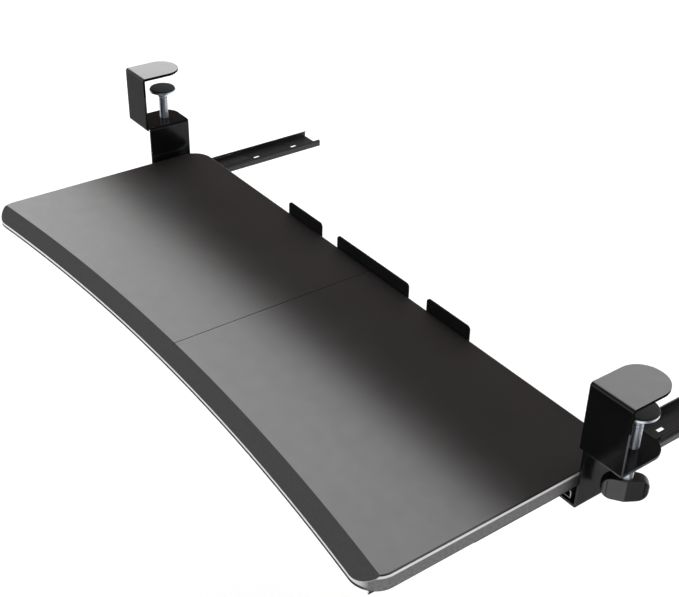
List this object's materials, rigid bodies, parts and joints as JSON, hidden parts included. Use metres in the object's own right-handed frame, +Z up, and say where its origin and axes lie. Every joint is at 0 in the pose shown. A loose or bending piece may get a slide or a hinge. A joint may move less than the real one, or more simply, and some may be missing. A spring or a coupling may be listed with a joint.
{
  "type": "keyboard tray under desk",
  "caption": "Pull-out keyboard tray with a bowed front, hung from the desk's front edge on two screw clamps and running on ball slides.",
  "frame": {"origin": "midway between the two clamps, on the desk's front edge at the height of the desk top", "axes": "+X along the desk edge to the user's right, +Y in under the desk, +Z up"},
  "size_m": [0.918, 0.4896, 0.154],
  "materials": {
    "laminate": "particle board with a satin charcoal laminate, finely textured band along the front",
    "bracket_steel": "folded steel with satin black powder coat",
    "black_steel": "folded steel with satin black paint",
    "slide_steel": "rolled steel, black electrophoretic coat with bare cut edges",
    "cage_steel": "pressed steel strip with polished balls",
    "zinc": "zinc plate with a bluish passivate",
    "pad": "matte black rubber",
    "knob_plastic": "moulded black plastic, lightly textured"
  },
  "bodies": {
    "desk_clamps": {"left_clamp_bracket": "bracket_steel", "left_tongue_pad": "pad", "left_slide_outer_member": "slide_steel", "left_flange_screws": "zinc", "left_flange_nuts": "zinc", "left_clamp_nut": "zinc", "right_clamp_bracket": "bracket_steel", "right_tongue_pad": "pad", "right_slide_outer_member": "slide_steel", "right_flange_screws": "zinc", "right_flange_nuts": "zinc", "right_clamp_nut": "zinc"},
    "slide_middles": {"left_slide_middle_member": "slide_steel", "right_slide_middle_member": "slide_steel"},
    "outer_ball_cages": {"left_outer_ball_cage": "cage_steel", "right_outer_ball_cage": "cage_steel"},
    "inner_ball_cages": {"left_inner_ball_cage": "cage_steel", "right_inner_ball_cage": "cage_steel"},
    "tray": {"left_board": "laminate", "right_board": "laminate", "left_rear_stop": "black_steel", "centre_rear_stop": "black_steel", "right_rear_stop": "black_steel", "rear_joining_plate": "black_steel", "front_joining_plate": "black_steel", "stop_screws": "zinc", "joining_plate_screws": "zinc", "tray_slide_screws": "zinc", "left_slide_inner_member": "slide_steel", "right_slide_inner_member": "slide_steel"},
    "left_foot": {"left_swivel_foot": "zinc", "left_foot_pad": "pad"},
    "left_screw": {"left_clamp_screw": "zinc", "left_wing_knob": "knob_plastic"},
    "right_foot": {"right_swivel_foot": "zinc", "right_foot_pad": "pad"},
    "right_screw": {"right_clamp_screw": "zinc", "right_wing_knob": "knob_plastic"}
  },
  "joints": [
    {"name": "tray_slide", "type": "slide", "parent": "desk_clamps", "child": "tray", "axis": [0, 1, 0], "range_m": [0, 0.2325]},
    {"name": "middle_slide", "type": "slide", "parent": "desk_clamps", "child": "slide_middles", "axis": [0, 1, 0], "range_m": [0, 0.11625]},
    {"name": "outer_cage_slide", "type": "slide", "parent": "desk_clamps", "child": "outer_ball_cages", "axis": [0, 1, 0], "range_m": [0, 0.05813]},
    {"name": "inner_cage_slide", "type": "slide", "parent": "desk_clamps", "child": "inner_ball_cages", "axis": [0, 1, 0], "range_m": [0, 0.17438]},
    {"name": "left_foot_lift", "type": "slide", "parent": "desk_clamps", "child": "left_foot", "axis": [0, 0, 1], "range_m": [-0.02975, 0.02275]},
    {"name": "left_screw_turn", "type": "hinge", "parent": "left_foot", "child": "left_screw", "pos_m": [-0.4355, 0.039, -0.06], "axis": [0, 0, 1], "range_deg": [-6121, 4681]},
    {"name": "right_foot_lift", "type": "slide", "parent": "desk_clamps", "child": "right_foot", "axis": [0, 0, 1], "range_m": [-0.02975, 0.02275]},
    {"name": "right_screw_turn", "type": "hinge", "parent": "right_foot", "child": "right_screw", "pos_m": [0.4355, 0.039, -0.06], "axis": [0, 0, 1], "range_deg": [-6121, 4681]}
  ],
  "couplings": [
    {"joint": "middle_slide", "follows": "tray_slide", "ratio": 0.5},
    {"joint": "outer_cage_slide", "follows": "tray_slide", "ratio": 0.25},
    {"joint": "inner_cage_slide", "follows": "tray_slide", "ratio": 0.75},
    {"joint": "left_screw_turn", "follows": "left_foot_lift", "rad_per_m": 3590.4},
    {"joint": "right_screw_turn", "follows": "right_foot_lift", "rad_per_m": 3590.4}
  ]
}
